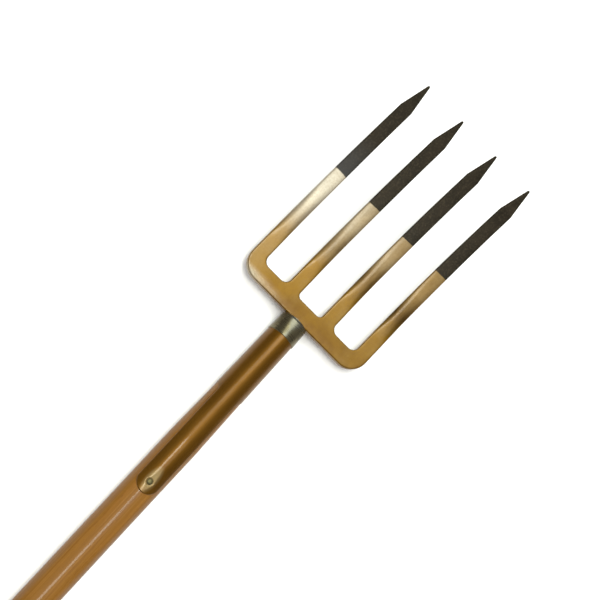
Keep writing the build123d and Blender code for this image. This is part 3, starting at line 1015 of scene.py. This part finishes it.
def dip_shader(f, station, outer, scale, forged):
    """Matt black paint with brown specks, and a painted bluish sheen where the left tine's dip
    begins.
    """
    soot = f.noise(f.place, 60, 5, 0.6)
    # Painted sheen: bluish near the dip's line on the outer left tine.
    painted_sheen = f.clamped(f.times(f.times(f.slope(station, 0.2, 0.145), outer), 5.0))
    black = f.ramp(soot, (0.3, DIP_DARK), (0.7, DIP_LIGHT))
    black = f.mix(f.ramp(scale, (0.48, 0), (0.66, 0.8)), black, DIP_SPECK)
    black = f.mix(painted_sheen, black, DIP_PAINTED_SHEEN)
    return f.shader(
        Base_Color=black, Roughness=f.ramp(soot, (0.3, 0.36), (0.7, 0.52)),
        Normal=f.bump(scale, 0.00018, 0.5, f.bump(forged, 0.0006, 0.2)),
        Specular_IOR_Level=0.21, Specular_Tint=DIP_TINT,
    )


def dipped_share(f, along):
    """0 on the lacquer and 1 on the dip, whose line sags from tine to tine and frays a little."""
    line = BACK_EDGE.x + curve_station(DIP_START) * MM
    sag = f.times(f.minus(f.noise(f.stretched(0.0, 1.0, 0.0), 26, 1), 0.5), 0.004)
    fray = f.times(f.minus(f.noise(f.place, 300, 3), 0.5), 0.0012)
    past = f.plus(f.minus(along, line), f.plus(sag, fray))
    return f.clamped(f.plus(f.over(past, DIP_BLUR), 0.5))


def head_finish():
    """Gold lacquer over forged steel, with the tine ends dipped in matt black."""
    f = Finish("gold_lacquer_and_dip")
    along, across, _ = f.axes()
    station = f.minus(along, BACK_EDGE.x)
    outer = f.slope(across, 0.055, 0.075, high=0.14)
    scale = f.noise(f.place, 420, 5, 0.65)
    forged = f.noise(f.place, 75, 2)
    node = f.add("MixShader", Fac=dipped_share(f, along))
    f.feed(node.inputs[1], lacquer_shader(f, station, across, outer, scale, forged))
    f.feed(node.inputs[2], dip_shader(f, station, outer, scale, forged))
    return f.finish(node.outputs[0])


def ferrule_finish():
    """Bronze-gold lacquer over rolled sheet, drawn along its length, paler in a patch round the
    rivet.
    """
    f = Finish("bronze_lacquer")
    patches = f.noise(f.place, 30, 4)
    drawn = f.noise(f.stretched(6, 220, 220), 1, 4, 0.6)
    specks = f.noise(f.place, 700, 3)
    x, y, _ = f.axes()
    # A paler patch round the rivet, longer along the tongue than across it.
    along = f.over(f.minus(x, BACK_EDGE.x + (RIVET_STATION + 3) * MM), RIVET_PATCH_LENGTH)
    across = f.over(y, RIVET_PATCH_WIDTH)
    reach = f.plus(f.math("POWER", along, 2.0), f.math("POWER", across, 2.0))
    bronze = f.ramp(patches, (0.3, BRONZE_DARK), (0.7, BRONZE_LIGHT))
    bronze = f.mix(f.ramp(drawn, (0.45, 0), (0.8, 0.35)), bronze, BRONZE_DRAWN)
    bronze = f.mix(f.slope(reach, 1.0, 0.1, high=0.6), bronze, BRONZE_PALE_PATCH)
    return f.finish(f.shader(
        Base_Color=bronze, Metallic=0.65, Roughness=f.ramp(drawn, (0.3, 0.38), (0.75, 0.46)),
        Normal=f.bump(specks, 0.00006, 0.3, f.bump(drawn, 0.0001, 0.3)),
        Coat_Weight=0.08, Coat_IOR=2.2, Coat_Roughness=0.13, Specular_IOR_Level=0.25,
    ))


def steel_finish():
    """Bright steel, dulled, finely scratched round its girth, with a painted highlight in a wedge
    on the front.
    """
    f = Finish("bright_steel")
    patches = f.noise(f.place, 55, 4)
    scratches = f.noise(f.stretched(900, 60, 60), 1, 3, 0.6)
    stain = f.ramp(f.noise(f.place, 140, 5, 0.7), (0.55, 0), (0.8, 0.5))
    x, y, z = f.axes()
    # Painted highlight: a paler wedge on the top of the collar, widest at the crossbar.
    half_width = f.slope(f.minus(BACK_EDGE.x, x), 0.0, 0.015, 0.0105, 0.0025)
    highlight_wedge = f.slope(f.minus(f.math("ABSOLUTE", y), half_width), 0.0015, -0.002)
    front = f.math("GREATER_THAN", z, BACK_EDGE.z)
    steel = f.ramp(patches, (0.3, STEEL_DARK), (0.7, STEEL_LIGHT))
    steel = f.mix(stain, steel, STEEL_STAIN)
    steel = f.mix(f.times(highlight_wedge, front), steel, STEEL_PAINTED_HIGHLIGHT)
    return f.finish(f.shader(
        Base_Color=steel, Metallic=0.85, Roughness=f.ramp(scratches, (0.3, 0.24), (0.75, 0.38)),
        Normal=f.bump(scratches, 0.00005, 0.35),
    ))


def rivet_finish():
    """Plain hammered steel gone dark."""
    f = Finish("dark_rivet_steel")
    patches = f.noise(f.place, 320, 4)
    return f.finish(f.shader(
        Base_Color=f.ramp(patches, (0.3, RIVET_DARK), (0.7, RIVET_LIGHT)), Metallic=0.9,
        Roughness=f.ramp(patches, (0.3, 0.38), (0.7, 0.52)),
        Normal=f.bump(f.noise(f.place, 500, 3), 0.0002, 0.5),
    ))


def wood_finish():
    """Lacquered ash: growth rings round a pith outside the stick, pores and soft streaks."""
    f = Finish("lacquered_ash")
    pith = f.add("Mapping", Vector=f.place, Location=PITH_PLACE, Rotation=PITH_LEAN)
    bend = f.noise(f.stretched(2.2, 14, 14), 1, 2)
    rings = f.add(
        "TexWave",
        {"wave_type": "RINGS", "rings_direction": "X", "wave_profile": "SAW"},
        Vector=pith.outputs[0], Scale=95, Distortion=2.4, Detail=2, Detail_Scale=0.35,
        Phase_Offset=f.times(bend, 9.0),
    ).outputs[1]
    early = f.ramp(rings, (0.0, 1), (0.28, 0.25), (1.0, 0))
    fibres = f.noise(f.stretched(9, 620, 620), 1, 5, 0.65)
    streaks = f.noise(f.stretched(3, 90, 90), 1, 3)
    pores = f.add("TexVoronoi", {"feature": "F1"}, Vector=f.stretched(70, 1500, 1500), Scale=1)
    pores = f.ramp(pores.outputs[0], (0.12, 1), (0.3, 0))
    pores = f.times(pores, f.plus(f.times(early, 0.5), 0.12))

    honey = f.ramp(streaks, (0.3, ASH_DARK), (0.7, ASH_LIGHT))
    honey = f.mix(f.times(early, 0.5), honey, ASH_EARLY)
    honey = f.mix(f.ramp(fibres, (0.45, 0), (0.75, 0.35)), honey, ASH_FIBRE)
    honey = f.mix(pores, honey, ASH_PORE)
    return f.finish(f.shader(
        Base_Color=honey, Roughness=f.ramp(fibres, (0.3, 0.34), (0.7, 0.5)),
        Normal=f.bump(f.minus(f.times(fibres, 0.6), pores), 0.00025, 0.4),
        Coat_Weight=0.06, Coat_IOR=2.2, Coat_Roughness=0.11, Specular_IOR_Level=0.12,
    ))


# ---------------------------------------------------------------- stage, light and camera

FLOOR_HALF_WIDTH = 30
ROOM_COLOUR = (1.0, 0.95, 0.88, 1)
ROOM_STRENGTH = 0.08
SOFTBOX_HEIGHT = 2.3
CAMERA_BEARING = math.radians(152.96)
CAMERA_ELEVATION = math.radians(72.13)
CAMERA_ROLL = math.radians(42.92)
CAMERA_DISTANCE = 1.85135
FIELD_OF_VIEW = math.radians(20.43)
FRAMING_SHIFT = (0.0077, 0.0355)


def build_floor():
    """A pale floor, wide enough for every view."""
    f = Finish("pale_floor")
    tone = f.ramp(f.noise(f.place, 3, 2), (0.3, FLOOR_DARK), (0.7, FLOOR_LIGHT))
    half = FLOOR_HALF_WIDTH
    points = [(-half, -half, 0), (half, -half, 0), (half, half, 0), (-half, half, 0)]
    mesh = bpy.data.meshes.new("floor")
    mesh.from_pydata(points, [], [(0, 1, 2, 3)])
    mesh.materials.append(f.finish(f.shader(Base_Color=tone, Roughness=0.7)))
    floor = bpy.data.objects.new("floor", mesh)
    bpy.context.scene.collection.objects.link(floor)


def add_softbox(name, place, aim, size, power, colour=(1, 1, 1)):
    """A soft rectangular light that faces a point."""
    light = bpy.data.lights.new(name, "AREA")
    light.shape = "RECTANGLE"
    light.size, light.size_y = size
    light.energy = power
    light.color = colour
    lamp = bpy.data.objects.new(name, light)
    lamp.location = place
    lamp.rotation_mode = "QUATERNION"
    lamp.rotation_quaternion = (Vector(aim) - Vector(place)).to_track_quat("-Z", "Y")
    lamp.visible_camera = False
    bpy.context.scene.collection.objects.link(lamp)
    return lamp


def build_light():
    """A dim room with a broad fill, and four softboxes that the fork mirrors."""
    world = bpy.data.worlds.new("room")
    world.use_nodes = True
    background = world.node_tree.nodes["Background"]
    background.inputs[0].default_value = ROOM_COLOUR
    background.inputs[1].default_value = ROOM_STRENGTH
    bpy.context.scene.world = world
    fill = add_softbox("fill", BACK_EDGE + Vector((0, 0.1, 2.5)), BACK_EDGE, (5.2, 4.8), 145)
    fill.visible_glossy = False
    for name, x, y, size, power, colour in (
        ("overhead", 1.63, 0.15, (1.3, 1.15), 26, (0.95, 1.0, 0.86)),
        ("side", 0.64, -0.38, (0.3, 0.8), 1.9, (1, 1, 1)),
        ("strip", 0.72, 0.17, (0.3, 0.3), 7.4, (0.97, 1.0, 0.9)),
    ):
        add_softbox(name, (x, y, SOFTBOX_HEIGHT), BACK_EDGE, size, power, colour)
    x, y = 0.335, 0.02
    add_softbox("key", (x, y, SOFTBOX_HEIGHT), (x, y, 0), (0.4, 0.5), 10.8, (0.98, 1.0, 0.9))


def build_camera():
    """The camera, above the handle and rolled so that the fork runs up to the right."""
    flat = math.cos(CAMERA_ELEVATION)
    x, y = flat * math.cos(CAMERA_BEARING), flat * math.sin(CAMERA_BEARING)
    towards = Vector((x, y, math.sin(CAMERA_ELEVATION)))
    level = (-towards).cross(Vector((1, 0, 0))).normalized()
    upright = level.cross(-towards)
    right = level * math.cos(CAMERA_ROLL) + upright * math.sin(CAMERA_ROLL)
    up = upright * math.cos(CAMERA_ROLL) - level * math.sin(CAMERA_ROLL)
    data = bpy.data.cameras.new("camera")
    data.angle = FIELD_OF_VIEW
    data.shift_x, data.shift_y = FRAMING_SHIFT
    camera = bpy.data.objects.new("camera", data)
    camera.rotation_mode = "QUATERNION"
    camera.rotation_quaternion = Matrix((right, up, towards)).transposed().to_quaternion()
    camera.location = BACK_EDGE + towards * CAMERA_DISTANCE
    bpy.context.scene.collection.objects.link(camera)
    bpy.context.scene.camera = camera


build_camera()
build_floor()
build_light()
bpy.context.scene.view_settings.view_transform = "Standard"

build_head(head_finish())
build_ferrule(ferrule_finish())
build_ring(steel_finish())
build_handle(wood_finish())
rivet_material = rivet_finish()
build_rivet(rivet_material)
build_washer(rivet_material)
